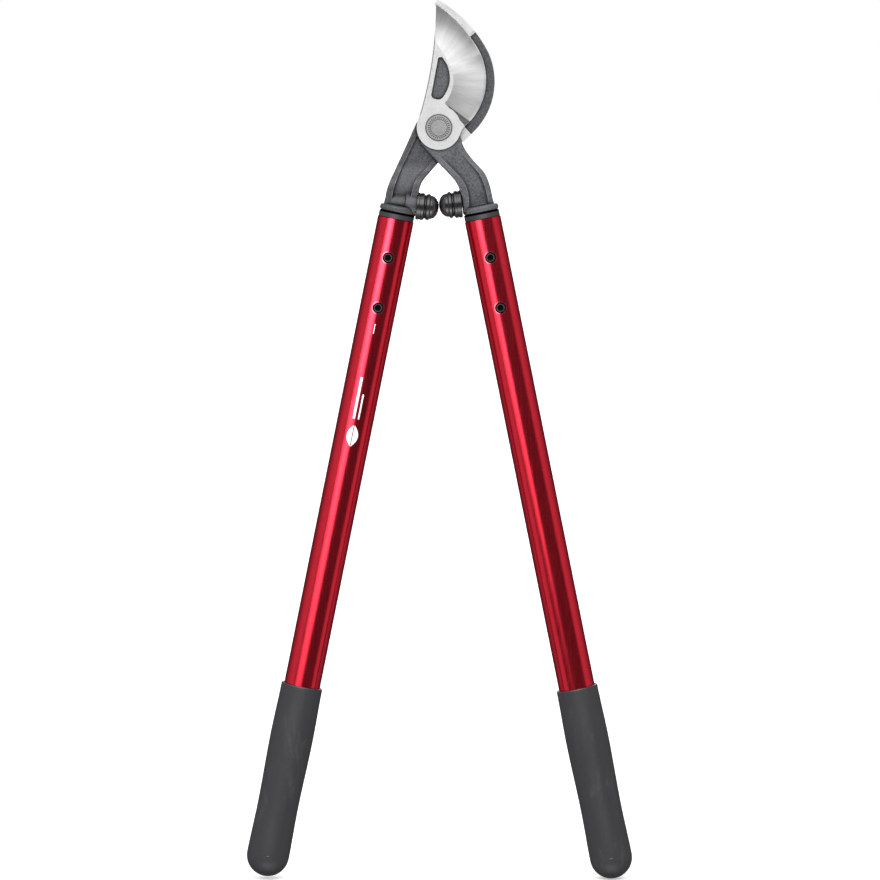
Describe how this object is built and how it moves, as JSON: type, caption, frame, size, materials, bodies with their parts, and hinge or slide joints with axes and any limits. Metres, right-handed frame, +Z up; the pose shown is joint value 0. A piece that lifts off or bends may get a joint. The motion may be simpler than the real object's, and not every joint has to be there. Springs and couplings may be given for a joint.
{
  "type": "bypass loppers",
  "caption": "Long handled bypass loppers with a curved blade, a counter hook, round red tube handles, bumpers and soft grips.",
  "frame": {"origin": "on the pivot axis, in the rear face of the pivot nut", "axes": "+Z up towards the blade tips, +Y out of the back of the tool, so the front with the bolt head faces -Y; +X towards the blade half's handle"},
  "size_m": [0.3042, 0.0339, 0.6912],
  "materials": {
    "blade_steel": "ground",
    "forged_steel": "satin, as forged and coated",
    "pivot_steel": "satin",
    "plated_steel": "zinc plated",
    "bronze": "sintered",
    "red_anodised": "red anodised, polished",
    "dark_plastic": "matt",
    "black_screw": "black oxide",
    "bumper_rubber": "smooth",
    "grip_rubber": "matt"
  },
  "bodies": {
    "hook_half": {"hook": "forged_steel", "pivot_bush": "bronze", "left_bumper": "bumper_rubber", "left_bumper_stud": "plated_steel", "left_tube": "red_anodised", "left_collar": "dark_plastic", "left_handle_screws": "black_screw", "left_end_plug": "dark_plastic", "left_grip": "grip_rubber"},
    "blade_half": {"blade": "blade_steel", "pivot_bolt": "pivot_steel", "pivot_washer": "plated_steel", "pivot_spring_washer": "plated_steel", "pivot_nut": "plated_steel", "right_bumper": "bumper_rubber", "right_bumper_stud": "plated_steel", "right_tube": "red_anodised", "right_collar": "dark_plastic", "right_handle_screws": "black_screw", "right_end_plug": "dark_plastic", "right_grip": "grip_rubber"}
  },
  "joints": [
    {"name": "pivot", "type": "hinge", "parent": "hook_half", "child": "blade_half", "pos_m": [0, -0.017, 0], "axis": [0, -1, 0], "range_deg": [0, 60]}
  ]
}
